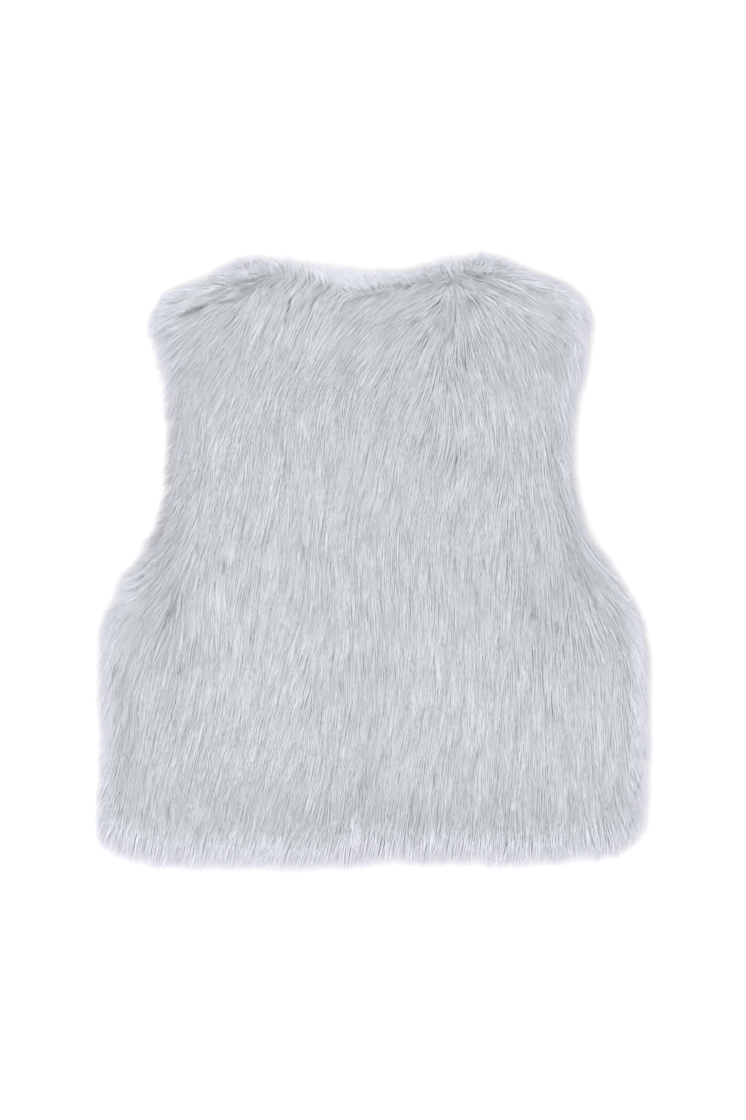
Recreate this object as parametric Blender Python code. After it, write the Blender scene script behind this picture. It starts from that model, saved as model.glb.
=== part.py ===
"""Sleeveless fur gilet laid flat with its back upwards.

Four sewn pieces: a back, two fronts underneath it, and the strip of fur turned over the back neck edge.
Each one is fur cloth, a woven ground with a long pile, so its wall is as thick as the pile that lies on it.
X runs across the body, Y from hem to neck, Z up from the surface that the gilet lies on.
The origin is the middle of the outline, on that surface. All sizes are in metres.
"""

import math
from collections import namedtuple

import bmesh
import bpy
import numpy as np

# Heights above the surface.
FRONT_TOP = 0.0093          # the fronts' pile is pressed flat under the back
SEAM_GAP = 0.0003           # clear space between pieces that are sewn or lie on each other
BACK_UNDER = FRONT_TOP + SEAM_GAP
BACK_TOP = 0.0275           # crown of the back's pile before its locks are raised
BACK_RIM_WALL = 0.0022      # upright edge of the back at its outline
FRONT_RIM_UNDER = 0.0058    # how high the fronts' pile lifts off the surface at the outline

# How far in from the outline the pile rounds off.
BACK_ROUNDING = 0.030
FRONT_ROUNDING = 0.013

# Shoulder and neck rolls, where fur turns over an edge.
SHOULDER_ROLL_MIDDLE = 0.0092
SHOULDER_ROLL_RISE = 0.0086
NECK_ROLL_MIDDLE = 0.0080
NECK_ROLL_RISE = 0.0072
ROLL_SIDES = 12
ROLL_END_SHARE = 0.12       # share of a roll's length over which each end rounds off
ROLL_END_SIZE = 0.35        # size of the closed end as a share of the full section

# Locks of pile raised on the back.
LOCK_WIDTH = 0.024
LOCK_LENGTH = 0.058
LOCK_RISE = 0.0026
LOCK_ROOT_SHARE = 0.3       # height of a lock's root as a share of its tip
LOCK_TIP_SHARE = 0.18       # end of a lock where it drops to the next one
LOCK_STAGGER = 0.618        # part of a lock's length by which neighbours are out of step
NAP_SPREAD = 0.9            # how much the nap fans out towards the hem, per metre
NAP_ORIGIN = 0.200          # height from which it fans

# Mesh spacing.
RIM_STEPS = 5
BACK_STEP_ACROSS = 0.0075
BACK_STEP_DOWN = 0.0100
FRONT_STEP = 0.012
FLAT_ANGLE = math.radians(0.2)

# Share of the way across at which the neck ends and a shoulder begins.
NECK_POINT_LEFT = -0.462
NECK_POINT_RIGHT = 0.375

# The outline's two sides: half-widths to the left and right of the middle, from hem corner to shoulder tip.
Side = namedtuple("Side", "height left right")
SIDES = (
    Side(-0.2000, 0.1970, 0.1925),
    Side(-0.1630, 0.1975, 0.1960),
    Side(-0.0880, 0.1990, 0.1990),
    Side(-0.0550, 0.1985, 0.1975),
    Side(-0.0340, 0.1925, 0.1910),
    Side(-0.0120, 0.1830, 0.1790),
    Side(0.0090, 0.1660, 0.1630),
    Side(0.0310, 0.1565, 0.1525),
    Side(0.0530, 0.1510, 0.1480),
    Side(0.0850, 0.1480, 0.1450),
    Side(0.1170, 0.1510, 0.1485),
    Side(0.1500, 0.1580, 0.1550),
    Side(0.1720, 0.1640, 0.1590),
)

# The hem, the outline's top and the seam along the back's shoulders and neck.
# Across is a share of the half-width, from -1 at the left side to 1 at the right side.
Edge = namedtuple("Edge", "across height")
HEM = (
    Edge(-1.00, -0.2000),
    Edge(-0.93, -0.2120),
    Edge(-0.85, -0.2175),
    Edge(-0.63, -0.2203),
    Edge(-0.27, -0.2218),
    Edge(-0.12, -0.2174),
    Edge(0.06, -0.2146),
    Edge(0.21, -0.2174),
    Edge(0.32, -0.2150),
    Edge(0.48, -0.2190),
    Edge(0.70, -0.2167),
    Edge(0.85, -0.2124),
    Edge(0.93, -0.2080),
    Edge(1.00, -0.1960),
)
TOP = (
    Edge(-1.00, 0.1720),
    Edge(-0.97, 0.1855),
    Edge(-0.94, 0.1920),
    Edge(-0.85, 0.2010),
    Edge(-0.76, 0.2060),
    Edge(-0.59, 0.2182),
    Edge(-0.45, 0.2196),
    Edge(-0.15, 0.2124),
    Edge(0.07, 0.2102),
    Edge(0.21, 0.2131),
    Edge(0.44, 0.2218),
    Edge(0.57, 0.2196),
    Edge(0.66, 0.2138),
    Edge(0.84, 0.2030),
    Edge(0.94, 0.1945),
    Edge(0.97, 0.1870),
    Edge(1.00, 0.1720),
)
SEAM = (
    Edge(-1.00, 0.1600),
    Edge(-0.96, 0.1660),
    Edge(-0.82, 0.1780),
    Edge(-0.59, 0.2000),
    Edge(-0.46, 0.2070),
    Edge(-0.36, 0.2065),
    Edge(-0.22, 0.1985),
    Edge(-0.10, 0.1945),
    Edge(0.03, 0.1970),
    Edge(0.21, 0.2035),
    Edge(0.36, 0.2070),
    Edge(0.57, 0.2000),
    Edge(0.79, 0.1890),
    Edge(0.94, 0.1780),
    Edge(1.00, 0.1640),
)

# The front opening leans a little across the body, and the front neck is a round scoop.
# Reach is the share of the way from the opening to the end of the neck.
FRONT_EDGE_AT_HEM = 0.008
FRONT_EDGE_AT_NECK = -0.008
FRONT_EDGE_LOW = -0.215
FRONT_EDGE_HIGH = 0.150
SHOULDER_REACH = 1.15       # reach from which a front runs up into its shoulder roll
Scoop = namedtuple("Scoop", "reach height")
FRONT_NECK = (
    Scoop(0.00, 0.1500),
    Scoop(0.25, 0.1510),
    Scoop(0.50, 0.1560),
    Scoop(0.75, 0.1660),
    Scoop(0.90, 0.1790),
    Scoop(1.00, 0.1950),
)

# Furrows where the fur parts or the cloth dips.
Furrow = namedtuple("Furrow", "from_across from_height to_across to_height width depth")
FURROWS = (
    Furrow(-0.176, -0.058, -0.171, -0.170, 0.010, 0.0032),
    Furrow(-0.134, -0.002, -0.157, -0.109, 0.009, 0.0030),
    Furrow(0.055, 0.176, 0.065, 0.132, 0.010, 0.0032),
    Furrow(-0.012, 0.062, 0.005, -0.027, 0.016, 0.0024),
    Furrow(0.005, -0.055, 0.012, -0.115, 0.018, 0.0024),
    Furrow(0.113, 0.004, 0.136, -0.042, 0.024, 0.0030),
)

FUR_COLOUR = (0.585, 0.615, 0.640, 1.0)
FACING_COLOUR = (0.670, 0.690, 0.760, 1.0)
FUR_ROUGHNESS = 0.85


class Line:
    """A smooth line through the rows of a table that never swings past them."""

    def __init__(self, places, values):
        self.places = np.array(places)
        self.values = np.array(values)
        gaps = np.diff(self.places)
        rises = np.diff(self.values) / gaps
        self.slopes = np.zeros(len(self.places))
        self.slopes[0] = rises[0]
        self.slopes[-1] = rises[-1]
        for row in range(1, len(rises)):
            before, after = rises[row - 1], rises[row]
            if before * after > 0:
                self.slopes[row] = 2 * before * after / (before + after)

    def __call__(self, at):
        at = float(np.clip(at, self.places[0], self.places[-1]))
        row = int(np.clip(np.searchsorted(self.places, at) - 1, 0, len(self.places) - 2))
        gap = self.places[row + 1] - self.places[row]
        t = (at - self.places[row]) / gap
        start = (1 + 2 * t) * (1 - t) ** 2 * self.values[row] + t * t * (3 - 2 * t) * self.values[row + 1]
        bend = t * (1 - t) ** 2 * self.slopes[row] - t * t * (1 - t) * self.slopes[row + 1]
        return start + gap * bend


def line_of(rows, value):
    """Line through one column of a table, over its first column."""
    return Line([row[0] for row in rows], [getattr(row, value) for row in rows])


half_width = max(side.right for side in SIDES)
body_length = max(edge.height for edge in SEAM) - min(edge.height for edge in HEM)
left_side = line_of(SIDES, "left")
right_side = line_of(SIDES, "right")
hem = line_of(HEM, "height")
top = line_of(TOP, "height")
seam = line_of(SEAM, "height")
front_neck = line_of(FRONT_NECK, "height")


def side_at(across, height):
    """Distance from the middle at a share of the half-width on this height."""
    return across * (right_side(height) if across > 0 else left_side(height))


def stations(span, rounding, step):
    """Shares from 0 to 1 along a span, closer together where its two ends round off."""
    near = [rounding * (1 - math.cos(0.5 * math.pi * i / RIM_STEPS)) for i in range(RIM_STEPS)]
    count = max(1, round((span - 2 * rounding) / step))
    middle = [rounding + (span - 2 * rounding) * i / count for i in range(count + 1)]
    far = [span - place for place in reversed(near)]
    return [place / span for place in near + middle + far]


def back_columns():
    """Shares across the body, from -1 to 1, at which the back and what is sewn to its top edge have points."""
    return [2 * share - 1 for share in stations(2 * half_width, BACK_ROUNDING, BACK_STEP_ACROSS)]


def border(grid):
    """Points round the edge of a grid of rows, anticlockwise from its first point."""
    loop = list(grid[0])
    loop += [row[-1] for row in grid[1:]]
    loop += list(reversed(grid[-1]))[1:]
    loop += [row[0] for row in reversed(grid[1:-1])]
    return loop


def inset_of(points, outline):
    """Distance of each plan point from a closed outline."""
    starts = np.array(outline)
    spans = np.roll(starts, -1, axis=0) - starts
    lengths = np.maximum((spans ** 2).sum(axis=1), 1e-12)
    insets = []
    for point in points:
        offset = np.array(point) - starts
        share = np.clip((offset * spans).sum(axis=1) / lengths, 0, 1)
        gap = offset - share[:, None] * spans
        insets.append(math.sqrt((gap ** 2).sum(axis=1).min()))
    return insets


def rounded(inset, rounding):
    """Quarter-round from 0 at the outline to 1 where the rounding ends."""
    short = 1 - min(inset / rounding, 1)
    return math.sqrt(1 - short * short)


def lock_relief(across, height):
    """Height of the overlapping locks, which rise towards their tips and lie along the nap."""
    column = across / (1 + NAP_SPREAD * (NAP_ORIGIN - height)) / LOCK_WIDTH
    index = math.floor(column)
    ridge = math.sin(math.pi * (column - index)) ** 2
    along = (NAP_ORIGIN - height) / LOCK_LENGTH + index * LOCK_STAGGER
    share = along - math.floor(along)
    if share < 1 - LOCK_TIP_SHARE:
        rise = share / (1 - LOCK_TIP_SHARE)
    else:
        rise = (1 - share) / LOCK_TIP_SHARE
    return LOCK_RISE * ridge * (LOCK_ROOT_SHARE + (1 - LOCK_ROOT_SHARE) * rise)


def furrow_depth(across, height):
    """Depth of the furrows at a plan point, each a soft groove along a straight run."""
    depth = 0.0
    for furrow in FURROWS:
        run_across = furrow.to_across - furrow.from_across
        run_height = furrow.to_height - furrow.from_height
        length = math.hypot(run_across, run_height)
        along = ((across - furrow.from_across) * run_across + (height - furrow.from_height) * run_height) / length
        aside = ((across - furrow.from_across) * run_height - (height - furrow.from_height) * run_across) / length
        past = max(0.0, -along, along - length)
        depth += furrow.depth * math.exp(-(aside / furrow.width) ** 2 - (past / furrow.width) ** 2)
    return depth


def close_grid(shape, upper, lower):
    """Join two grids of points that share a plan into one closed body."""
    faces = []
    sides = []
    for grid, upward in ((upper, True), (lower, False)):
        made = [[shape.verts.new(point) for point in row] for row in grid]
        for j in range(len(made) - 1):
            for i in range(len(made[j]) - 1):
                quad = [made[j][i], made[j][i + 1], made[j + 1][i + 1], made[j + 1][i]]
                faces.append(quad if upward else quad[::-1])
        sides.append(border(made))
    rim, foot = sides
    for i in range(len(rim)):
        after = (i + 1) % len(rim)
        faces.append([foot[i], foot[after], rim[after], rim[i]])
    for face in faces:
        shape.faces.new(face)


def roll(shape, start, end, middle, rise):
    """Closed roll of fur that fills the strip between the back's seam and the outline."""
    between = [across for across in back_columns() if min(start, end) < across < max(start, end)]
    places = [start] + (between if start < end else between[::-1]) + [end]
    rings = []
    for across in places:
        share = (across - start) / (end - start)
        from_end = min(share, 1 - share) / ROLL_END_SHARE
        size = ROLL_END_SIZE + (1 - ROLL_END_SIZE) * rounded(from_end, 1)
        low = seam(across) + SEAM_GAP
        high = top(across)
        ring = []
        for side in range(ROLL_SIDES):
            turn = 2 * math.pi * side / ROLL_SIDES
            height = 0.5 * (low + high) + 0.5 * (high - low) * math.cos(turn)
            point = (side_at(across, height), height, middle + rise * size * math.sin(turn))
            ring.append(shape.verts.new(point))
        rings.append(ring)
    for before, after in zip(rings, rings[1:]):
        for side in range(ROLL_SIDES):
            other = (side + 1) % ROLL_SIDES
            shape.faces.new([before[side], before[other], after[other], after[side]])
    shape.faces.new(rings[0][::-1])
    shape.faces.new(rings[-1])


def finish(shape, name, colour):
    """Turn a closed shape into a named object with its own material."""
    bmesh.ops.recalc_face_normals(shape, faces=shape.faces)
    bmesh.ops.dissolve_limit(shape, angle_limit=FLAT_ANGLE, verts=shape.verts, edges=shape.edges)
    bmesh.ops.triangulate(shape, faces=shape.faces, ngon_method="BEAUTY")
    mesh = bpy.data.meshes.new(name)
    shape.to_mesh(mesh)
    shape.free()
    fur = bpy.data.materials.new(name + "_fur")
    fur.use_nodes = True
    shader = fur.node_tree.nodes["Principled BSDF"]
    shader.inputs["Base Color"].default_value = colour
    shader.inputs["Roughness"].default_value = FUR_ROUGHNESS
    mesh.materials.append(fur)
    body = bpy.data.objects.new(name, mesh)
    bpy.context.scene.collection.objects.link(body)
    return body


def join(body, extra):
    """Unite a second closed body with the first and remove it."""
    union = body.modifiers.new("union", "BOOLEAN")
    union.operation = "UNION"
    union.solver = "EXACT"
    union.object = extra
    bpy.ops.object.select_all(action="DESELECT")
    body.select_set(True)
    bpy.context.view_layer.objects.active = body
    bpy.ops.object.modifier_apply(modifier=union.name)
    bpy.data.objects.remove(extra, do_unlink=True)


def make_back():
    """The back: flat underneath, with a crowned pile of locks that rounds off to the outline."""
    columns = back_columns()
    rows = stations(body_length, BACK_ROUNDING, BACK_STEP_DOWN)
    plan = []
    for share in rows:
        heights = [hem(across) + (seam(across) - hem(across)) * share for across in columns]
        plan.append([(side_at(across, height), height) for across, height in zip(columns, heights)])
    insets = inset_of([point for row in plan for point in row], border(plan))
    upper = []
    lower = []
    for j, row in enumerate(plan):
        upper.append([])
        for i, (across, height) in enumerate(row):
            crown = rounded(insets[j * len(row) + i], BACK_ROUNDING)
            raised = lock_relief(across, height) - furrow_depth(across, height)
            full = BACK_TOP - BACK_UNDER - BACK_RIM_WALL + raised
            upper[-1].append((across, height, BACK_UNDER + BACK_RIM_WALL + full * crown))
        lower.append([(across, height, BACK_UNDER) for across, height in row])
    shape = bmesh.new()
    close_grid(shape, upper, lower)
    return finish(shape, "back_panel", FUR_COLOUR)


def front_edge(height):
    """Where the front opening runs on this height."""
    share = (height - FRONT_EDGE_LOW) / (FRONT_EDGE_HIGH - FRONT_EDGE_LOW)
    return FRONT_EDGE_AT_HEM + (FRONT_EDGE_AT_NECK - FRONT_EDGE_AT_HEM) * min(max(share, 0), 1)


def make_front(name, side, neck_point):
    """One front: pressed flat under the back, then rolled over the shoulder to meet it."""
    reaches = stations(half_width, FRONT_ROUNDING, FRONT_STEP)
    rows = stations(body_length, FRONT_ROUNDING, FRONT_STEP)
    neck_middle = FRONT_EDGE_AT_NECK / SIDES[-1].left
    plan = []
    for share in rows:
        row = []
        for reach in reaches:
            across = neck_middle + (side - neck_middle) * reach
            neck_reach = (across - neck_middle) / (neck_point - neck_middle)
            if neck_reach < SHOULDER_REACH:
                high = front_neck(neck_reach)
            else:
                high = 0.5 * (seam(across) + top(across))
            height = hem(across) + (high - hem(across)) * share
            opening = front_edge(height) + side * SEAM_GAP
            row.append((opening + reach * (side_at(side, height) - opening), height))
        plan.append(row if side > 0 else row[::-1])
    insets = inset_of([point for row in plan for point in row], border(plan))
    upper = []
    lower = []
    for j, row in enumerate(plan):
        upper.append([(across, height, FRONT_TOP) for across, height in row])
        lower.append([])
        for i, (across, height) in enumerate(row):
            lift = 1 - rounded(insets[j * len(row) + i], FRONT_ROUNDING)
            lower[-1].append((across, height, FRONT_RIM_UNDER * lift))
    shape = bmesh.new()
    close_grid(shape, upper, lower)
    front = finish(shape, name, FUR_COLOUR)
    shoulder = bmesh.new()
    roll(shoulder, neck_point, side, SHOULDER_ROLL_MIDDLE, SHOULDER_ROLL_RISE)
    join(front, finish(shoulder, name + "_shoulder", FUR_COLOUR))
    return front


def make_facing():
    """The fur turned over the back neck edge, between the two shoulders."""
    shape = bmesh.new()
    clear = SEAM_GAP / left_side(top(NECK_POINT_LEFT))
    roll(shape, NECK_POINT_LEFT + clear, NECK_POINT_RIGHT - clear, NECK_ROLL_MIDDLE, NECK_ROLL_RISE)
    return finish(shape, "neck_facing", FACING_COLOUR)


for old in list(bpy.data.objects):
    bpy.data.objects.remove(old, do_unlink=True)

make_back()
make_front("front_left", -1, NECK_POINT_LEFT)
make_front("front_right", 1, NECK_POINT_RIGHT)
make_facing()
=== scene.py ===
# %% [markdown]
# # A gilet of long silver-grey fur, laid flat on its front
# The real gilet is sewn from fur cloth: a thin knitted ground with a pile of hairs about four centimetres
# long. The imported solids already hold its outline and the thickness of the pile. This script grows the hairs
# inside those solids. Blender's particle hair would be quicker to comb, but an exported model keeps no
# particles, so every strand here is a small closed mesh, made many at a time from arrays.

# %% Load the solids that the fur fills
import math
from collections import namedtuple

import bmesh
import bpy
import numpy as np
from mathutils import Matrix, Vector
from mathutils.bvhtree import BVHTree
from mathutils.kdtree import KDTree


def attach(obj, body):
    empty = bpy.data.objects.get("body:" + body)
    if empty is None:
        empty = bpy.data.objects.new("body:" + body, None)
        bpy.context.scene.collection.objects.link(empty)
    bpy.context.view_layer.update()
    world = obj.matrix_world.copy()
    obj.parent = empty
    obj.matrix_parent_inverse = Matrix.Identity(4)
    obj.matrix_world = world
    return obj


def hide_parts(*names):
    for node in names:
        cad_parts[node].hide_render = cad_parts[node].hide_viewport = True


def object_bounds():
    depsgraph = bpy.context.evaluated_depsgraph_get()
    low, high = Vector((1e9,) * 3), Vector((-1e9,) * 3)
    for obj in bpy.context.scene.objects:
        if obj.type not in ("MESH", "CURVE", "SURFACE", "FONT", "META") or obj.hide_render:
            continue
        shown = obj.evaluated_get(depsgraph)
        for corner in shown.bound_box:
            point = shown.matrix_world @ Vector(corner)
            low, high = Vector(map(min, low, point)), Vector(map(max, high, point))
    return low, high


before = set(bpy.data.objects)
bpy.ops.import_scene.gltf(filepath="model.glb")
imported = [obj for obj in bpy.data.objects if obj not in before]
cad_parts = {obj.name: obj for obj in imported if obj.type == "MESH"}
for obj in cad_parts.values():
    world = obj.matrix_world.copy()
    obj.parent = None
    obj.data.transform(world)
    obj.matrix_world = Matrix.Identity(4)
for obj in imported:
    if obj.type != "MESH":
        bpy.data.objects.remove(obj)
cad_low, cad_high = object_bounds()

print("solids:", sorted(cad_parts), "box:", [round(n, 4) for n in (*cad_low, *cad_high)])

# %% [markdown]
# The photograph looks straight at the flat gilet, so the camera hangs above it and looks straight down. A
# long lens keeps the thick pile from leaning outwards at the edges. The distance follows from the lens and
# from the size of one picture pixel on the gilet.

# %% Hang the camera above the gilet
PICTURE_HEIGHT = 1120
METRES_PER_PIXEL = 0.00072
LENS = 100.0
SENSOR = 36.0
PILE_LEVEL = 0.012
MIDDLE_OF_PICTURE = (-0.0004, 0.0022)

above = METRES_PER_PIXEL * PICTURE_HEIGHT * LENS / SENSOR
bpy.ops.object.camera_add(location=(*MIDDLE_OF_PICTURE, PILE_LEVEL + above), rotation=(0, 0, 0))
camera = bpy.context.object
camera.data.lens = LENS
camera.data.sensor_width = SENSOR
bpy.context.scene.camera = camera
print("camera", round(above, 3), "m above the pile")

# %% [markdown]
# The gilet lies on plain white paper. A large plane is enough for it, and lies a little under the lowest
# hairs, so that none of them cuts through it.

# %% Lay the floor
FLOOR_SIZE = 12.0
FLOOR_DROP = 0.0006
PAPER_COLOUR = (0.96, 0.96, 0.96, 1)
PAPER_ROUGHNESS = 0.9
PAPER_SPECULAR = 0.1

bpy.ops.object.select_all(action="DESELECT")
bpy.ops.mesh.primitive_plane_add(size=FLOOR_SIZE, location=(0, 0, 0))
floor = bpy.context.object
floor.name = "floor"
for vertex in floor.data.vertices:
    vertex.co.z = -FLOOR_DROP
paper = bpy.data.materials.new("white_paper")
paper.use_nodes = True
paper_shader = paper.node_tree.nodes["Principled BSDF"]
paper_shader.inputs["Base Color"].default_value = PAPER_COLOUR
paper_shader.inputs["Roughness"].default_value = PAPER_ROUGHNESS
paper_shader.inputs["Specular IOR Level"].default_value = PAPER_SPECULAR
floor.data.materials.append(paper)
print("floor", FLOOR_SIZE, "m wide")

# %% [markdown]
# Fur shows its depth by the shade between its locks. Light from all round would fill those gaps, and one hard
# lamp would turn every strand into a stripe, so a wide soft lamp overhead gives the light a direction and a
# bright plain surrounding lifts the shadows.

# %% Light it
SURROUND = 1.235
LAMP_PLACE = (-0.35, -0.55, 2.35)
LAMP_SIZE = 1.6
LAMP_POWER = 16.0

bpy.ops.object.light_add(type="AREA", location=LAMP_PLACE)
lamp = bpy.context.object
lamp.data.shape = "DISK"
lamp.data.size = LAMP_SIZE
lamp.data.energy = LAMP_POWER
lamp.rotation_euler = (-Vector(LAMP_PLACE)).to_track_quat("-Z", "Y").to_euler()

world = bpy.data.worlds.new("pale_surround")
world.use_nodes = True
backdrop = world.node_tree.nodes["Background"]
backdrop.inputs["Color"].default_value = (1.0, 1.0, 1.0, 1)
backdrop.inputs["Strength"].default_value = SURROUND
bpy.context.scene.world = world
bpy.context.scene.view_settings.view_transform = "Standard"
print("lamp", LAMP_POWER, "W,", LAMP_SIZE, "m wide")

# %% [markdown]
# Every strand has to know two things about the place it grows at: how high the pile is there, and how far the
# outline is. Asking the solids hair by hair would be slow for a hundred thousand hairs. So they are looked at
# once from straight above, at points two millimetres apart, and the answers are kept as maps that arrays can
# read.

# %% Look straight down on the solids
MAP_STEP = 0.002
MAP_MARGIN = 0.030
LOOK_FROM = cad_high.z + 0.05

map_x = np.arange(cad_low.x - MAP_MARGIN, cad_high.x + MAP_MARGIN, MAP_STEP)
map_y = np.arange(cad_low.y - MAP_MARGIN, cad_high.y + MAP_MARGIN, MAP_STEP)


def height_map(node):
    """Height of a solid's upper side over the map, or nan beside it."""
    tree = BVHTree.FromObject(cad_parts[node], bpy.context.evaluated_depsgraph_get())
    heights = np.full((len(map_y), len(map_x)), np.nan)
    down = Vector((0, 0, -1))
    for j, y in enumerate(map_y):
        for i, x in enumerate(map_x):
            hit = tree.ray_cast(Vector((x, y, LOOK_FROM)), down)[0]
            if hit is not None:
                heights[j, i] = hit.z
    return heights


def neighbours(field):
    """The map nine times over: as it is, and shifted by one point to each of its eight neighbours."""
    padded = np.pad(field, 1, mode="edge")
    rows, columns = field.shape
    return [padded[j:j + rows, i:i + columns] for j in range(3) for i in range(3)]


def spread(field):
    """Each point takes the largest value among itself and its neighbours."""
    return np.max(neighbours(field), axis=0)


tops = {node: height_map(node) for node in ("back_panel", "front_left", "front_right", "neck_facing")}
covered = {node: np.isfinite(heights) for node, heights in tops.items()}
# Growing the covered points by one and shrinking them again closes the fine gaps between the solids.
everything = ~spread(~spread(np.any(list(covered.values()), axis=0)))
print("map", everything.shape, "outline covers", round(everything.sum() * MAP_STEP ** 2, 4), "m2")

# %% [markdown]
# The distance to the outline tells a hair when to stop, and its slope tells which way is outwards. For every
# point of the map a search tree finds the nearest point on the other side of the outline.

# %% Measure how far the outline is
def tree_of(cells):
    """Search tree over the marked cells of a map."""
    places = np.argwhere(cells)
    tree = KDTree(len(places))
    for index, (j, i) in enumerate(places):
        tree.insert((map_x[i], map_y[j], 0), index)
    tree.balance()
    return tree


def edge_map(inside):
    """Distance to the edge of a region: above zero inside it and below zero outside."""
    padded = np.pad(inside, 1)
    around = padded[:-2, 1:-1].astype(int) + padded[2:, 1:-1] + padded[1:-1, :-2] + padded[1:-1, 2:]
    last_in = tree_of(inside & (around < 4))
    first_out = tree_of(~inside & (around > 0))
    distances = np.zeros(inside.shape)
    for j, y in enumerate(map_y):
        for i, x in enumerate(map_x):
            if inside[j, i]:
                distances[j, i] = first_out.find((x, y, 0))[2] - MAP_STEP / 2
            else:
                distances[j, i] = MAP_STEP / 2 - last_in.find((x, y, 0))[2]
    return distances


def read(field, x, y):
    """Value of a map between its points. Places beside the map take the value at its edge."""
    across = np.clip((x - map_x[0]) / MAP_STEP, 0, len(map_x) - 1.001)
    along = np.clip((y - map_y[0]) / MAP_STEP, 0, len(map_y) - 1.001)
    i, j = across.astype(int), along.astype(int)
    s, t = across - i, along - j
    near = field[j, i] * (1 - s) + field[j, i + 1] * s
    far = field[j + 1, i] * (1 - s) + field[j + 1, i + 1] * s
    return near * (1 - t) + far * t


edge = edge_map(everything)
out_y, out_x = np.gradient(-edge, MAP_STEP)
back_edge = edge_map(covered["back_panel"])
neck_edge = edge_map(covered["neck_facing"])
front_edges = {node: edge_map(covered[node]) for node in ("front_left", "front_right")}
print("deepest inside the outline", round(edge.max(), 3), "m")

# %% [markdown]
# Where the solids meet at the shoulders they leave a sharp groove. Real hairs bridge it, so the surface that
# they lie on is filled there: letting the high places grow, and then the low ones by as much, closes what is
# narrow and leaves the rest as it was. Well inside the outline the surface is softened too, as deep pile is.

# %% Smooth the surface of the pile
RIM_LEVEL = 0.0105
RIM_DROP = 0.25
SHOULDER_LOW = 0.150
SEAM_FILL = 0.7
SEAM_WIDTH = 0.016
FILL_ROUNDS = 5
SOFTENING = 0.7
SOFT_ROUNDS = 24
SOFT_FROM = 0.010
SOFT_WIDTH = 0.015


def soften(field, rounds):
    """Each point takes the mean of itself and its neighbours, a number of times over."""
    for _ in range(rounds):
        field = np.mean(neighbours(field), axis=0)
    return field


pile_top = np.max([np.nan_to_num(heights, nan=0.0) for heights in tops.values()], axis=0)
pile_top = np.where(everything & (pile_top == 0), spread(pile_top), pile_top)
pile_top = np.where(everything, pile_top, RIM_LEVEL + RIM_DROP * edge)
filled = pile_top
for _ in range(FILL_ROUNDS):
    filled = spread(filled)
for _ in range(FILL_ROUNDS):
    filled = -spread(-filled)
near_seam = np.exp(-(back_edge / SEAM_WIDTH) ** 2) * (map_y > SHOULDER_LOW)[:, None]
pile_top = pile_top + SEAM_FILL * near_seam * (filled - pile_top)
well_in = np.clip((edge - SOFT_FROM) / SOFT_WIDTH, 0, 1)
pile_top = pile_top + SOFTENING * well_in * (soften(pile_top, SOFT_ROUNDS) - pile_top)
print("pile stands up to", round(pile_top.max(), 4), "m")
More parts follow.
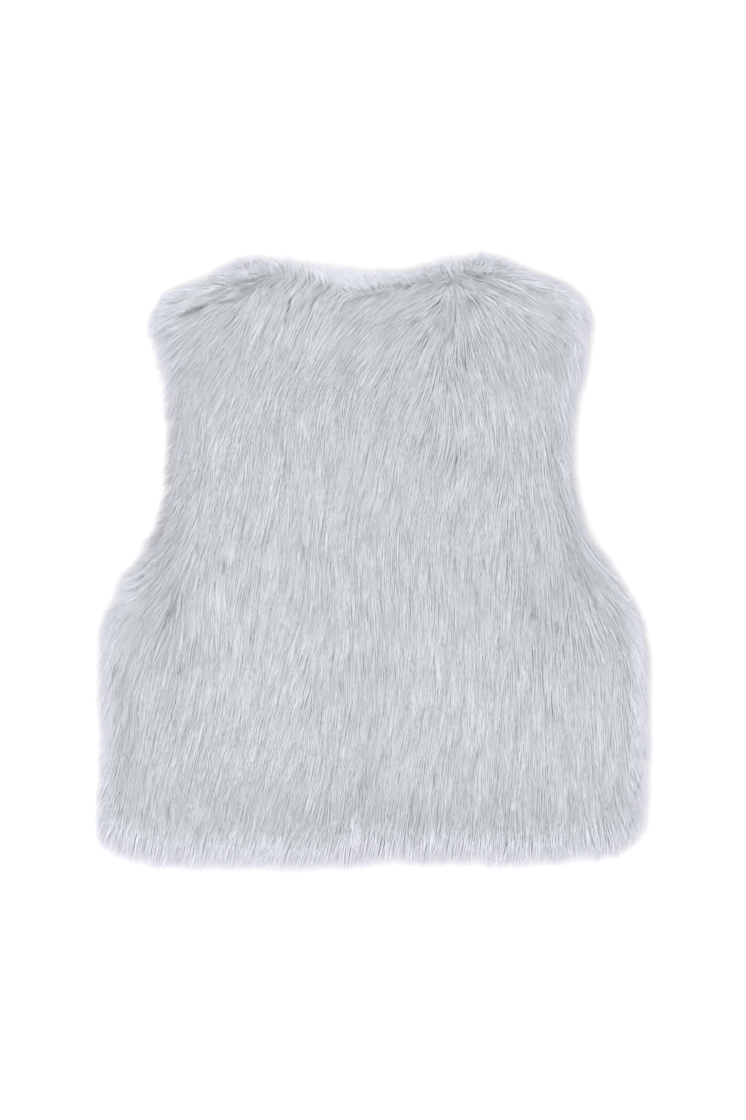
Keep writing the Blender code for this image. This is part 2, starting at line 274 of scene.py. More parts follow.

# %% [markdown]
# Fur cloth has a nap: its hairs lie one way, here from the neck to the hem. On a gilet that has been worn and
# laid down the nap swirls a little. It fans out sideways along the shoulders, splits at the neck points and
# sweeps outwards under the arms. A table of comb strokes holds the lean of the hair at places where it can be
# judged in the photograph, and every other place takes a mean of the strokes near it.

# %% Comb the nap
# Each stroke: across, height, lean in degrees.
COMBS = (
    (-0.139, 0.187, -75), (-0.114, 0.195, -80), (-0.105, 0.181, -55), (-0.080, 0.186, -22),
    (-0.053, 0.182, -20), (-0.035, 0.182, -24), (-0.021, 0.176, -32), (-0.006, 0.181, -43),
    (0.015, 0.187, -55), (0.041, 0.186, -53), (0.073, 0.176, 28), (0.087, 0.204, 70), (0.113, 0.189, 62),
    (-0.155, 0.175, -62), (-0.147, 0.157, -52), (-0.132, 0.171, -55), (-0.121, 0.157, -42),
    (-0.089, 0.157, -16), (0.033, 0.164, -30), (0.057, 0.168, -15), (0.091, 0.157, 22), (0.134, 0.174, 48),
    (0.143, 0.150, 20), (-0.129, 0.121, -10), (-0.109, 0.146, -28), (0.025, 0.130, -26), (0.069, 0.140, 16),
    (0.113, 0.143, 19), (0.149, 0.121, 0), (-0.139, 0.096, -8), (-0.089, 0.114, -24), (-0.064, 0.096, -6),
    (-0.031, 0.103, -3), (0.008, 0.096, -12), (0.095, 0.114, 6), (-0.096, 0.071, -8), (0.144, 0.089, 6),
    (-0.125, 0.060, -17), (-0.053, 0.038, -7), (-0.006, 0.053, -13), (0.077, 0.060, -11),
    (0.145, 0.053, 10), (-0.145, 0.031, -26), (-0.082, 0.013, -11), (0.134, 0.017, 5),
    (-0.177, -0.019, -60), (-0.161, -0.001, -50), (-0.121, -0.019, 0), (-0.017, 0.002, 0),
    (0.008, -0.005, 2), (0.055, 0.002, 0), (0.113, -0.019, -4), (0.152, 0.001, 32), (0.163, -0.021, 29),
    (-0.168, -0.037, -30), (0.019, -0.034, 4), (0.080, -0.041, -4), (0.134, -0.027, 1), (0.177, -0.042, 23),
    (-0.184, -0.063, -12), (-0.109, -0.055, -6), (-0.053, -0.059, -15), (0.008, -0.073, 1),
    (0.037, -0.063, -5), (0.192, -0.073, 6), (-0.161, -0.091, -11), (-0.093, -0.091, -10),
    (-0.021, -0.106, -7), (0.091, -0.091, -1), (0.163, -0.084, -1), (-0.193, -0.113, -9),
    (-0.114, -0.131, -15), (-0.067, -0.117, -16), (0.033, -0.120, -10), (0.149, -0.113, 4),
    (0.192, -0.120, 6), (-0.082, -0.156, -14), (0.055, -0.149, -4), (0.105, -0.149, -4),
    (-0.161, -0.171, -9), (-0.125, -0.189, -15), (0.005, -0.171, -8), (0.041, -0.192, -10),
    (0.134, -0.196, 1), (0.163, -0.189, 11), (0.188, -0.174, 18), (-0.179, -0.207, -12),
    (-0.053, -0.199, -20), (-0.017, -0.207, -12), (0.091, -0.199, -4), (0.046, 0.205, -72),
    (0.072, 0.206, 70), (0.040, 0.197, -66), (0.080, 0.198, 66), (0.059, 0.199, -4),
)
COMB_SOFTNESS = 0.010

comb_x, comb_y, comb_lean = np.array(COMBS).T.copy()
comb_lean = np.radians(comb_lean)


def nap(x, y):
    """Lean of the hair in radians: 0 points to the hem, and above 0 leans to the right."""
    apart = (x[:, None] - comb_x) ** 2 + (y[:, None] - comb_y) ** 2
    weight = 1 / (apart + COMB_SOFTNESS ** 2) ** 2
    return np.arctan2(weight @ np.sin(comb_lean), weight @ np.cos(comb_lean))


middle_lean = math.degrees(nap(np.zeros(1), np.zeros(1))[0])
print("comb strokes:", len(COMBS), "lean at the middle", round(middle_lean, 1))

# %% [markdown]
# The pile hangs over the cut edge of its ground cloth: a little at the sides, and further at the hem, where
# the nap runs over the edge. So each cloth is smaller than the fur. Along the armholes the back's edge is
# held in further. That comes from soft oval patches, which also place shade, tint and other changes further
# down.

# %% Draw the edges of the ground cloths
SIDE_OVERHANG = 0.010
TIP_OVERHANG = 0.013
# Each patch: across, height, half-width, half-height, amount.
HELD_IN = ((-0.152, 0.070, 0.020, 0.075, 0.009), (0.149, 0.070, 0.020, 0.065, 0.005))


def patches(rows, x, y):
    """Sum of soft oval patches, each row with its place, its half-sizes and its amount."""
    total = np.zeros(len(x))
    for across, height, wide, tall, amount in rows:
        total += amount * np.exp(-((x - across) / wide) ** 2 - ((y - height) / tall) ** 2)
    return total


map_places = [places.ravel() for places in np.meshgrid(map_x, map_y)]
map_lean = nap(*map_places).reshape(edge.shape)
runs_out = np.clip(np.sin(map_lean) * out_x - np.cos(map_lean) * out_y, 0, 1)
outer = edge - (SIDE_OVERHANG + TIP_OVERHANG * runs_out)
back_outer = outer - patches(HELD_IN, *map_places).reshape(edge.shape)
print("cloth covers", round((outer > 0).sum() * MAP_STEP ** 2, 4), "m2 of the outline")

# %% [markdown]
# Under the hairs lies the ground, a knitted cloth about a millimetre and a half thick. It hardly shows, but
# it closes the gaps between the locks and is what a maker would cut. A grid is laid over each piece, trimmed
# to the piece's own edge, pulled onto that edge and thickened with Solidify. No point is pulled so far that a
# face could turn over.

# %% Cut the ground cloths
GROUND_STEP = 0.005
NECK_STEP = 0.0025
GROUND_THICKNESS = 0.0014
BACK_GROUND = 0.0100
FRONT_GROUND = 0.0072
NECK_GROUND = 0.0064
BACK_RELIEF = 0.25
NECK_OVERHANG = 0.006
SEAM_TURNING = 0.001
GROUND_SHY = 0.003
CUT_SLACK = 0.4
MOST_PULL = 0.45
FOLD_ANGLE = math.radians(40)


def cut_ground(name, turning, level, relief=0.0, step=GROUND_STEP):
    """A thin cloth that ends where the turning map is zero, and lies higher under deep pile."""
    bpy.ops.object.select_all(action="DESELECT")
    wide, tall = map_x[-1] - map_x[0], map_y[-1] - map_y[0]
    bpy.ops.mesh.primitive_grid_add(x_subdivisions=int(wide / step), y_subdivisions=int(tall / step), size=1)
    cloth = bpy.context.object
    cloth.name = name
    shape = bmesh.new()
    shape.from_mesh(cloth.data)
    for vertex in shape.verts:
        vertex.co.x = (vertex.co.x + 0.5) * wide + map_x[0]
        vertex.co.y = (vertex.co.y + 0.5) * tall + map_y[0]
    places = np.array([vertex.co[:2] for vertex in shape.verts])
    room = read(turning, places[:, 0], places[:, 1])
    off = [vertex for vertex, clear in zip(shape.verts, room) if clear < -CUT_SLACK * step]
    bmesh.ops.delete(shape, geom=off, context="VERTS")
    bmesh.ops.delete(shape, geom=[v for v in shape.verts if not v.link_faces], context="VERTS")
    slope_y, slope_x = np.gradient(turning, MAP_STEP)
    for vertex in shape.verts:
        x, y = np.array([vertex.co.x]), np.array([vertex.co.y])
        if vertex.is_boundary:
            clear = max(min(read(turning, x, y)[0], MOST_PULL * step), -MOST_PULL * step)
            vertex.co.x -= clear * read(slope_x, x, y)[0]
            vertex.co.y -= clear * read(slope_y, x, y)[0]
        deep = read(pile_top, x, y)[0] - level
        vertex.co.z = level + relief * max(deep, 0)
    shape.to_mesh(cloth.data)
    shape.free()
    wall = cloth.modifiers.new("wall", "SOLIDIFY")
    wall.thickness = GROUND_THICKNESS
    wall.offset = 1
    bpy.ops.object.modifier_apply(modifier=wall.name)
    bpy.ops.object.shade_smooth_by_angle(angle=FOLD_ANGLE)
    area = sum(face.area for face in cloth.data.polygons) / 2
    print(name, "area", round(area, 5), "m2, size", [round(n, 3) for n in cloth.dimensions])
    return cloth


back_cut = np.minimum(back_outer - GROUND_SHY, back_edge - SEAM_TURNING)
neck_cut = np.minimum(neck_edge - SEAM_TURNING, edge - NECK_OVERHANG)
grounds = {"back_panel": cut_ground("back_ground", back_cut, BACK_GROUND, BACK_RELIEF)}
for node, own_edge in front_edges.items():
    front_cut = np.minimum(outer - GROUND_SHY, own_edge - SEAM_TURNING)
    grounds[node] = cut_ground(node + "_ground", front_cut, FRONT_GROUND)
grounds["neck_facing"] = cut_ground("neck_ground", neck_cut, NECK_GROUND, step=NECK_STEP)

# %% [markdown]
# A strand is a thin three-sided tube that tapers to a point and is closed at its root, so it has a front and
# a back like a real hair. Its few triangles are the same for every strand, so they are listed once. Each
# triangle also gets a place in one small cell of a map, which runs from the root at the bottom to the tip at
# the top.

# %% List the triangles of one strand
WAYS = {3: (0, 0.25, 1), 4: (0, 0.16, 0.62, 1)}
CELL_FOOT = 0.06
CELL_LENGTH = 0.88
LEFT, MIDDLE, RIGHT = 0.15, 0.5, 0.85


def strand_template(points):
    """Triangles of one strand, and where their corners lie in one cell of the map of tones."""
    triangles, places = [], []
    height = [CELL_FOOT + CELL_LENGTH * way for way in WAYS[points]]
    tip = (points - 2) * 3 + 1
    for side in range(3):
        a, b = 1 + side, 1 + (side + 1) % 3
        triangles.append((a, b, 0))
        places.append(((LEFT, height[1]), (RIGHT, height[1]), (MIDDLE, height[0])))
        for ring in range(1, points - 2):
            low, high = height[ring], height[ring + 1]
            triangles += [(a, a + 3, b + 3), (a, b + 3, b)]
            places += [((LEFT, low), (LEFT, high), (RIGHT, high)), ((LEFT, low), (RIGHT, high), (RIGHT, low))]
            a, b = a + 3, b + 3
        triangles.append((a, tip, b))
        places.append(((LEFT, height[-2]), (MIDDLE, height[-1]), (RIGHT, height[-2])))
    return np.array(triangles), np.array(places)


print("triangles in a strand:", [len(strand_template(points)[0]) for points in WAYS])

# %% [markdown]
# The corners of a strand lie round its path, and are worked out as arrays over all strands at once. Light
# sees the surface that hairs make together more than each single hair, so the normal of a corner leans mostly
# the way the pile faces and only a little round its own strand. That keeps the fur soft under the lamp.

# %% Place the corners of many strands
STRAND_FLATNESS = 0.75
TAPER = {3: (1.0,), 4: (1.0, 0.85)}
SOFT_NORMAL = 0.92
STEEPEST = 0.7

pile_slope_y, pile_slope_x = np.gradient(pile_top, MAP_STEP)


def pile_normal(corners):
    """Direction that the surface of the pile faces, at many places."""
    x, y = corners[:, :, 0], corners[:, :, 1]
    down_x = np.clip(-read(pile_slope_x, x, y), -STEEPEST, STEEPEST)
    down_y = np.clip(-read(pile_slope_y, x, y), -STEEPEST, STEEPEST)
    facing = np.stack([down_x, down_y, np.ones(x.shape)], axis=2)
    return facing / np.linalg.norm(facing, axis=2, keepdims=True)


def strand_corners(paths, radius, roll):
    """Corners of a tapering strand along each path, and the way that each corner faces."""
    count, points = paths.shape[:2]
    forward = np.diff(paths, axis=1)
    forward /= np.linalg.norm(forward, axis=2, keepdims=True)
    across = np.cross(forward, (0, 0, 1))
    across /= np.maximum(np.linalg.norm(across, axis=2, keepdims=True), 1e-6)
    lift = np.cross(across, forward)
    corners = np.zeros((count, (points - 2) * 3 + 2, 3))
    corners[:, 0], corners[:, -1] = paths[:, 0], paths[:, -1]
    outwards = np.zeros(corners.shape)
    for ring in range(1, points - 1):
        size = (radius * TAPER[points][ring - 1])[:, None]
        for side in range(3):
            turn = (roll + math.pi / 2 + side * 2 * math.pi / 3)[:, None]
            around = across[:, ring] * np.cos(turn) + lift[:, ring] * np.sin(turn) * STRAND_FLATNESS
            corners[:, ring * 3 - 2 + side] = paths[:, ring] + size * around
            outwards[:, ring * 3 - 2 + side] = around
    normals = outwards * (1 - SOFT_NORMAL) + pile_normal(corners) * SOFT_NORMAL
    return corners, normals / np.linalg.norm(normals, axis=2, keepdims=True)


print("normals follow the pile by", SOFT_NORMAL)

# %% [markdown]
# Thousands of strands go into one mesh: the corners as one list, and the same few triangles repeated with a
# growing offset. Each strand carries its tone, its tint and the way from root to tip as attributes for the
# finish. Strands of the same tone and tint share a cell on the map of tones, so that their colour can be baked
# on a small map.

# %% Build many strands as one mesh
TONE_RANGE = (0.40, 1.30)
TONE_STEPS = 63
TINT_STEPS = 15
MAP_CELLS = 32


def strand_mesh(name, paths, radius, roll, tone, tint):
    """One object with a closed tapering strand along each path."""
    count, points = paths.shape[:2]
    corners, normals = strand_corners(paths, radius, roll)
    triangles, places = strand_template(points)
    loops = (np.arange(count)[:, None, None] * corners.shape[1] + triangles).reshape(-1)
    tone_step = np.round((np.clip(tone, *TONE_RANGE) - TONE_RANGE[0]) / np.ptp(TONE_RANGE) * TONE_STEPS)
    tint_step = np.round(np.clip(tint, 0, 1) * TINT_STEPS)
    cell = tone_step + tint_step * (TONE_STEPS + 1)
    corner_of_cell = np.stack([cell % MAP_CELLS, cell // MAP_CELLS], axis=1)
    flat_map = (corner_of_cell[:, None, None, :] + places) / MAP_CELLS
    mesh = bpy.data.meshes.new(name)
    mesh.vertices.add(count * corners.shape[1])
    mesh.vertices.foreach_set("co", corners.reshape(-1))
    mesh.loops.add(len(loops))
    mesh.loops.foreach_set("vertex_index", loops)
    mesh.polygons.add(len(loops) // 3)
    mesh.polygons.foreach_set("loop_start", np.arange(0, len(loops), 3))
    mesh.polygons.foreach_set("use_smooth", np.ones(len(loops) // 3, dtype=bool))
    mesh.update(calc_edges=True)
    mesh.uv_layers.new(name="OFBake").data.foreach_set("uv", flat_map.reshape(-1))
    way = np.repeat(WAYS[points], [1] + [3] * (points - 2) + [1])
    held = {
        "tone": np.repeat(TONE_RANGE[0] + tone_step / TONE_STEPS * np.ptp(TONE_RANGE), corners.shape[1]),
        "tint": np.repeat(tint_step / TINT_STEPS, corners.shape[1]),
        "way": np.tile(way, count),
    }
    for label, values in held.items():
        mesh.attributes.new(label, "FLOAT", "POINT").data.foreach_set("value", values)
    mesh.normals_split_custom_set_from_vertices(normals.reshape(-1, 3).tolist())
    strands = bpy.data.objects.new(name, mesh)
    bpy.context.scene.collection.objects.link(strands)
    print(name, count, "strands,", len(loops) // 3, "triangles")
    return strands


print("map of tones:", MAP_CELLS, "by", MAP_CELLS, "cells")

# %% [markdown]
# Hairs of a real pile cling together in locks. The hairs of one lock share a turn, a bend, a length, a depth
# and a tone, so all of that is drawn by chance once for each lock. The seed is fixed, so the fur comes out
# the same every time. At two swirls, one on each side of the neck, the locks turn more, and over the ruffled
# yoke they bend more.

# %% Scatter the locks
SEED = 20
SCATTER = 0.6
LOCK_TURN = math.radians(3.6)
LOCK_BEND = math.radians(5)
LOCK_STRETCH = (0.86, 1.12)
LOCK_SINK = (0.0005, 0.0005)
LOCK_TONE = 0.012
LOCK_PULL = (0.06, 0.34)
LOCK_FADE = (0.65, 1.35)
SWIRLS = ((0.059, 0.188, 0.032, 0.030, 1.2), (-0.100, 0.188, 0.030, 0.015, 0.8))
RUFFLED = ((0.000, 0.185, 0.300, 0.070, 1.0),)
Locks = namedtuple("Locks", "tree x y turn bend stretch sink tone pull reach fade")

chance = np.random.default_rng(SEED)


def scatter(spacing, keep):
    """Places about a spacing apart, unevenly, where keep is true."""
    x, y = np.meshgrid(np.arange(map_x[0], map_x[-1], spacing), np.arange(map_y[0], map_y[-1], spacing))
    x = x.ravel() + chance.uniform(-SCATTER, SCATTER, x.size) * spacing
    y = y.ravel() + chance.uniform(-SCATTER, SCATTER, y.size) * spacing
    kept = keep(x, y)
    return x[kept], y[kept]


def make_locks(spacing, keep, reach):
    """Middles of locks with what their hairs share, and how far past the outline each may reach."""
    x, y = scatter(spacing, keep)
    count = len(x)
    tree = KDTree(count)
    for index in range(count):
        tree.insert((x[index], y[index], 0), index)
    tree.balance()
    return Locks(
        tree, x, y,
        turn=chance.normal(0, LOCK_TURN, count) * (1 + patches(SWIRLS, x, y)),
        bend=chance.normal(0, LOCK_BEND, count) * (1 + patches(RUFFLED, x, y)),
        stretch=chance.uniform(*LOCK_STRETCH, count),
        sink=chance.normal(*LOCK_SINK, count),
        tone=chance.normal(0, LOCK_TONE, count),
        pull=chance.uniform(*LOCK_PULL, count),
        reach=chance.uniform(*reach, count),
        fade=chance.uniform(*LOCK_FADE, count),
    )


print("hairs start from seed", SEED)

# %% [markdown]
# A hair leaves the ground, bends over within its first few millimetres and then lies along the nap, at a
# depth of its own below the surface of the pile. Hairs that would pass the outline are shortened, because the
# pile of the real gilet ends there. The right length is found by halving: try the middle, and keep the half
# that still fits.

# %% Grow, trim and raise hairs
LYING = 0.93
RISE = {3: (0, 0.90, 0.97), 4: (0, 0.85, 1.0, 0.95)}
TRIM_ROUNDS = 7
LEAST_LENGTH = 0.15
LOWEST = 0.0006


def grow(x, y, length, turn, bend, points, outward):
    """Plan of hairs that follow the nap, or are brushed outwards, with a turn and a bend of their own."""
    path = np.zeros((len(x), points, 3))
    path[:, 0, 0], path[:, 0, 1] = x, y
    for k in range(1, points):
        step = length * LYING * (WAYS[points][k] - WAYS[points][k - 1])
        last_x, last_y = path[:, k - 1, 0], path[:, k - 1, 1]
        lean = nap(last_x, last_y)
        go_x = np.sin(lean) * (1 - outward) + read(out_x, last_x, last_y) * outward
        go_y = -np.cos(lean) * (1 - outward) + read(out_y, last_x, last_y) * outward
        heading = np.arctan2(go_y, go_x) + turn + bend * (WAYS[points][k] - 0.5)
        path[:, k, 0] = last_x + step * np.cos(heading)
        path[:, k, 1] = last_y + step * np.sin(heading)
    return path


def trim(path, past):
    """Shorten the hairs whose tips lie further past the outline than allowed."""
    root, run = path[:, :1, :2], path[:, :, :2] - path[:, :1, :2]
    low, high = np.full(len(path), LEAST_LENGTH), np.ones(len(path))
    fits = read(edge, path[:, -1, 0], path[:, -1, 1]) >= -past
    for _ in range(TRIM_ROUNDS):
        middle = (low + high) / 2
        tip = root[:, 0] + run[:, -1] * middle[:, None]
        inside = read(edge, tip[:, 0], tip[:, 1]) >= -past
        low, high = np.where(inside, middle, low), np.where(inside, high, middle)
    share = np.where(fits, 1.0, low)
    path[:, :, :2] = root + run * share[:, None, None]
    return path


def raise_hairs(path, level, sink):
    """Give the hairs their heights: from the ground up to the pile's surface, less how deep each one lies."""
    points = path.shape[1]
    for k in range(points):
        target = read(pile_top, path[:, k, 0], path[:, k, 1]) - sink
        path[:, k, 2] = np.maximum(level + RISE[points][k] * (target - level), LOWEST)
    return path


print("a hair runs along the cloth for", LYING, "of its length")

# %% [markdown]
# Within a lock each hair is pulled towards the lock's middle hair, a little at the root and most at the tip.
# A few hairs stray. At the crowns of the swirls, where hair stands up, it looks shorter. Some locks end a
# little inside the outline and some a little past it, with small nudges where the outline goes in or out.

# %% Lay hairs in locks
GATHER = {3: (0, 0.30, 1.0), 4: (0, 0.15, 0.6, 1.0)}
HAIR_TURN = math.radians(1.5)
HAIR_REACH = 0.0015
STRAY_SHARE = 0.012
STRAY_TURN = math.radians(16)
CROWNS = ((0.060, 0.190, 0.034, 0.026, 0.45), (-0.110, 0.187, 0.035, 0.016, 0.35))
NUDGES = (
    (-0.130, 0.200, 0.045, 0.020, 0.0025), (0.125, 0.200, 0.040, 0.020, 0.0025),
    (0.000, -0.215, 0.250, 0.020, -0.0048), (-0.187, -0.206, 0.015, 0.015, -0.0058),
    (0.184, -0.206, 0.015, 0.015, -0.0060), (-0.192, -0.045, 0.015, 0.020, -0.0030),
    (0.150, 0.050, 0.040, 0.110, 0.0018), (0.000, 0.210, 0.040, 0.012, 0.0030),
    (0.189, -0.025, 0.008, 0.009, 0.0030), (0.175, 0.000, 0.012, 0.009, -0.0030),
    (-0.158, 0.154, 0.010, 0.008, 0.0020), (-0.163, 0.002, 0.008, 0.008, 0.0015),
    (0.197, -0.142, 0.010, 0.022, 0.0025), (0.199, -0.187, 0.008, 0.010, -0.0040),
    (0.145, -0.215, 0.012, 0.010, -0.0025), (0.089, -0.217, 0.010, 0.010, -0.0050),
    (-0.038, -0.219, 0.018, 0.010, -0.0025), (-0.102, -0.219, 0.006, 0.010, -0.0035),
    (-0.171, -0.216, 0.008, 0.010, -0.0030), (0.071, -0.213, 0.006, 0.010, 0.0030),
    (-0.012, -0.214, 0.008, 0.010, 0.0030), (-0.149, -0.215, 0.008, 0.010, 0.0022),
)


def lay_hairs(locks, x, y, lengths, points, outward=0.0, spread_turn=HAIR_TURN, held_in=0.0):
    """Plan of hairs gathered into locks and trimmed, the lock of each, and which of them stray."""
    lock = np.array([locks.tree.find((px, py, 0))[1] for px, py in zip(x, y)])
    stray = chance.random(len(x)) < STRAY_SHARE
    ruffle = spread_turn * (1 + patches(RUFFLED, x, y))
    turn = locks.turn[lock] + chance.normal(0, 1, len(x)) * np.where(stray, STRAY_TURN, ruffle)
    length = chance.uniform(*lengths, len(x)) * locks.stretch[lock] * (1 - patches(CROWNS, x, y))
    bend = locks.bend[lock]
    path = grow(x, y, length, turn, bend, points, outward)
    middle = grow(locks.x[lock], locks.y[lock], length, locks.turn[lock], bend, points, outward)
    pull = np.where(stray, 0, locks.pull[lock])[:, None, None] * np.array(GATHER[points])[None, :, None]
    path[:, :, :2] += pull * (middle - path)[:, :, :2]
    past = locks.reach[lock] + chance.uniform(-HAIR_REACH, HAIR_REACH, len(x)) - held_in
    return trim(path, past - patches(NUDGES, path[:, -1, 0], path[:, -1, 1])), lock, stray


print("outline nudged at", len(NUDGES), "places")

# %% [markdown]
# A coat is one layer of hairs: their paths, with a tone and a tint for each. Hairs that end at the rim of the
# pile are made finer there, because single hairs show against the white.

# %% Turn a coat into strands
RIM_DEPTH = 0.024
RIM_FINER = 0.32
MOST_ROLL = 0.5
Coat = namedtuple("Coat", "path tone tint")


def at_rim(path):
    """How near the outline a hair ends, from 0 well inside to 1 on it."""
    return np.clip(1 - read(edge, path[:, -1, 0], path[:, -1, 1]) / RIM_DEPTH, 0, 1)


def make_fur(name, coat, radii):
    """Strands along a coat's paths, finer at the rim."""
    count = len(coat.path)
    radius = chance.uniform(*radii, count) * (1 - RIM_FINER * at_rim(coat.path))
    roll = chance.uniform(-MOST_ROLL, MOST_ROLL, count)
    return strand_mesh(name, coat.path, radius, roll, coat.tone, coat.tint)


print("strands thin by up to", RIM_FINER, "at the rim")

# %% [markdown]
# The back's hair covers its cloth, laps a little over the seams at the neck and the shoulders, and thins out
# towards the cut edge where the nap runs over it. Just below the seams lies the yoke. It needs more hair than
# the rest, because none comes down to it from above.

# %% Say where the back has hair
NECK_NEAR = 0.012
NECK_SEAM = 0.001
SHOULDER_SEAM = -0.004
SEAM_CHANCE = 0.002
SEAM_CLEAR = 0.001
SHOULDER_OVER = 0.006
EDGE_THINNING = (-0.002, 0.013)
EDGE_OVER = 0.002
YOKE_DEPTH = 0.036
LOCK_SPACING = 0.0068
BACK_REACH = (-0.005, 0.0055)


def on_back(x, y):
    """True where the back has hair: a little over its top seams, and thinning out towards its cut edge."""
    lap = np.where(read(neck_edge, x, y) > -NECK_NEAR, NECK_SEAM, SHOULDER_SEAM)
    lap = lap + chance.uniform(-SEAM_CHANCE, SEAM_CHANCE, len(x))
    seam = read(back_edge, x, y) > np.where(y > SHOULDER_LOW, lap, SEAM_CLEAR)
    thin = read(runs_out, x, y) * chance.uniform(*EDGE_THINNING, len(x)) - EDGE_OVER
    return seam & (read(back_outer, x, y) > np.where(y > SHOULDER_LOW, -SHOULDER_OVER, thin))


def below_seam(x, y):
    """True where the back has hair but little of it comes down from above."""
    return on_back(x, y) & (y > SHOULDER_LOW) & (read(back_edge, x, y) < YOKE_DEPTH)


back_locks = make_locks(LOCK_SPACING, on_back, BACK_REACH)
print("locks on the back:", len(back_locks.x))

# %% [markdown]
# The pile doesn't look one even grey, and its light and shade are painted onto the hairs. Patches of painted
# shade darken the fur where the photograph is darker, such as above the hem, under the arms and along the
# partings, and patches of painted light lift others. At the rim, where the pile thins out, the tips are
# painted pale lilac for the paper's light that shows through the thin hairs there, and a few locks inside are
# pale lilac too.

# %% Shade and tint the fur
# RIM_TINT and SIDE_TINT paint the hairs at the rim lilac: painted light for the paper's light that shows
# through the thin hairs there.
RIM_TINT = 0.78
SIDE_TINT = 0.54
SIDE_TINT_DEPTH = 0.018
TINT_CHANCE = (0.8, 1.15)
# Painted shade where the amount is below 0, and painted light where it is above 0.
PAINTED_SHADE_AND_LIGHT = (
    (0.000, -0.180, 0.210, 0.026, -0.095), (0.000, -0.207, 0.210, 0.012, 0.030),
    (0.125, -0.022, 0.030, 0.030, -0.05), (-0.157, 0.004, 0.016, 0.040, 0.02),
    (-0.010, 0.135, 0.030, 0.050, -0.04), (-0.150, 0.165, 0.016, 0.022, 0.02),
    (-0.125, 0.183, 0.030, 0.010, 0.06), (0.192, -0.100, 0.016, 0.090, 0.05),
    (-0.020, 0.195, 0.050, 0.008, 0.15), (0.005, -0.080, 0.018, 0.045, -0.03),
    (-0.173, -0.110, 0.007, 0.050, -0.06), (-0.143, -0.060, 0.010, 0.045, -0.08),
    (-0.060, -0.060, 0.050, 0.060, 0.02), (0.060, -0.110, 0.050, 0.040, 0.02),
    (-0.146, 0.070, 0.009, 0.080, -0.26), (0.147, 0.060, 0.012, 0.070, -0.10),
    (-0.190, -0.100, 0.016, 0.090, -0.08), (0.148, 0.166, 0.016, 0.022, 0.09),
    (0.102, 0.190, 0.032, 0.014, 0.17),
)
LILAC_LOCKS = (
    (-0.114, -0.021, 0.008, 0.026, 0.50), (-0.096, -0.073, 0.007, 0.022, 0.48),
    (-0.140, -0.055, 0.010, 0.030, 0.52), (-0.155, -0.095, 0.010, 0.030, 0.46),
    (-0.115, 0.170, 0.020, 0.012, 0.30), (0.030, 0.120, 0.010, 0.030, 0.15),
    (-0.088, 0.212, 0.022, 0.010, 0.40), (0.110, 0.207, 0.040, 0.010, 0.15),
)


def tip_tint(path, fade):
    """How lilac a hair is: more where its tip or its length lies in the thin rim, as painted light from the
    paper showing through, and in a few locks.
    """
    halfway = path[:, path.shape[1] // 2]
    at_tip = at_rim(path) ** 2
    along = np.clip(1 - read(edge, halfway[:, 0], halfway[:, 1]) / SIDE_TINT_DEPTH, 0, 1)
    rim = (RIM_TINT * at_tip + SIDE_TINT * along) * fade * chance.uniform(*TINT_CHANCE, len(path))
    return rim + patches(LILAC_LOCKS, halfway[:, 0], halfway[:, 1])


print("shaded patches:", len(PAINTED_SHADE_AND_LIGHT), "and lilac ones:", len(LILAC_LOCKS))

# %% [markdown]
# The back's pile has two main layers. Many fine hairs fill the depth, and thicker wisps, each standing for a
# few hairs that cling together, lie among them. Some lie deeper than others, and that leaves the thin dark
# gaps that make fur look soft. Hairs splay outwards at the sides, lie lower at the hem and lie calmer towards
# the rim.

# %% Lay the back's layers
SPLAY = 0.30
SPLAY_WIDTH = 0.012
RIM_CALM = 0.85
HEM_SINK = 0.002
HEM_SINK_WIDTH = 0.014
STRAY_LIFT = 0.0010
HAIR_TONE = 0.014
BACK_LEVEL = BACK_GROUND + GROUND_THICKNESS
Layer = namedtuple("Layer", "keep spacing lengths points depth shade")
WISPS = Layer(on_back, 0.0022, lengths=(0.046, 0.066), points=4, depth=(-0.0006, 0.0008), shade=0.0)
FINE = Layer(on_back, 0.00138, lengths=(0.040, 0.060), points=3, depth=(-0.0004, 0.0012), shade=-0.01)
YOKE = FINE._replace(keep=below_seam, depth=(-0.0002, 0.0014))


def back_coat(layer):
    """One layer of the back's hairs."""
    x, y = scatter(layer.spacing, layer.keep)
    room, hangs = read(back_outer, x, y), read(runs_out, x, y)
    beside = np.clip(1 - room / SPLAY_WIDTH, 0, 1) * (1 - hangs) * (y < SHOULDER_LOW)
    path, lock, stray = lay_hairs(back_locks, x, y, layer.lengths, layer.points, SPLAY * beside,
                                  held_in=patches(HELD_IN, x, y))
    calm = 1 - RIM_CALM * at_rim(path)
    least, spread_out = layer.depth
    sink = least + np.abs(chance.normal(0, spread_out, len(x))) * calm + back_locks.sink[lock]
    last = np.clip(1 - room / HEM_SINK_WIDTH, 0, 1) * hangs
    path = raise_hairs(path, BACK_LEVEL, np.where(stray, -STRAY_LIFT, sink + HEM_SINK * last))
    halfway = path[:, layer.points // 2]
    tone = 1 + layer.shade + back_locks.tone[lock] + chance.normal(0, HAIR_TONE, len(x))
    # Painted shade and light, from the patch at the middle of each hair.
    tone += patches(PAINTED_SHADE_AND_LIGHT, halfway[:, 0], halfway[:, 1])
    return Coat(path, tone, tip_tint(path, back_locks.fade[lock]))


wisps, fine, yoke = [back_coat(layer) for layer in (WISPS, FINE, YOKE)]
print("wisps:", len(wisps.path), "fine hairs:", len(fine.path), "more on the yoke:", len(yoke.path))

# %% [markdown]
# One mesh of all these hairs would be heavy to handle, so the two layers are parted by height into four zones
# with as many roots in each. The filling of the yoke is a piece of its own.

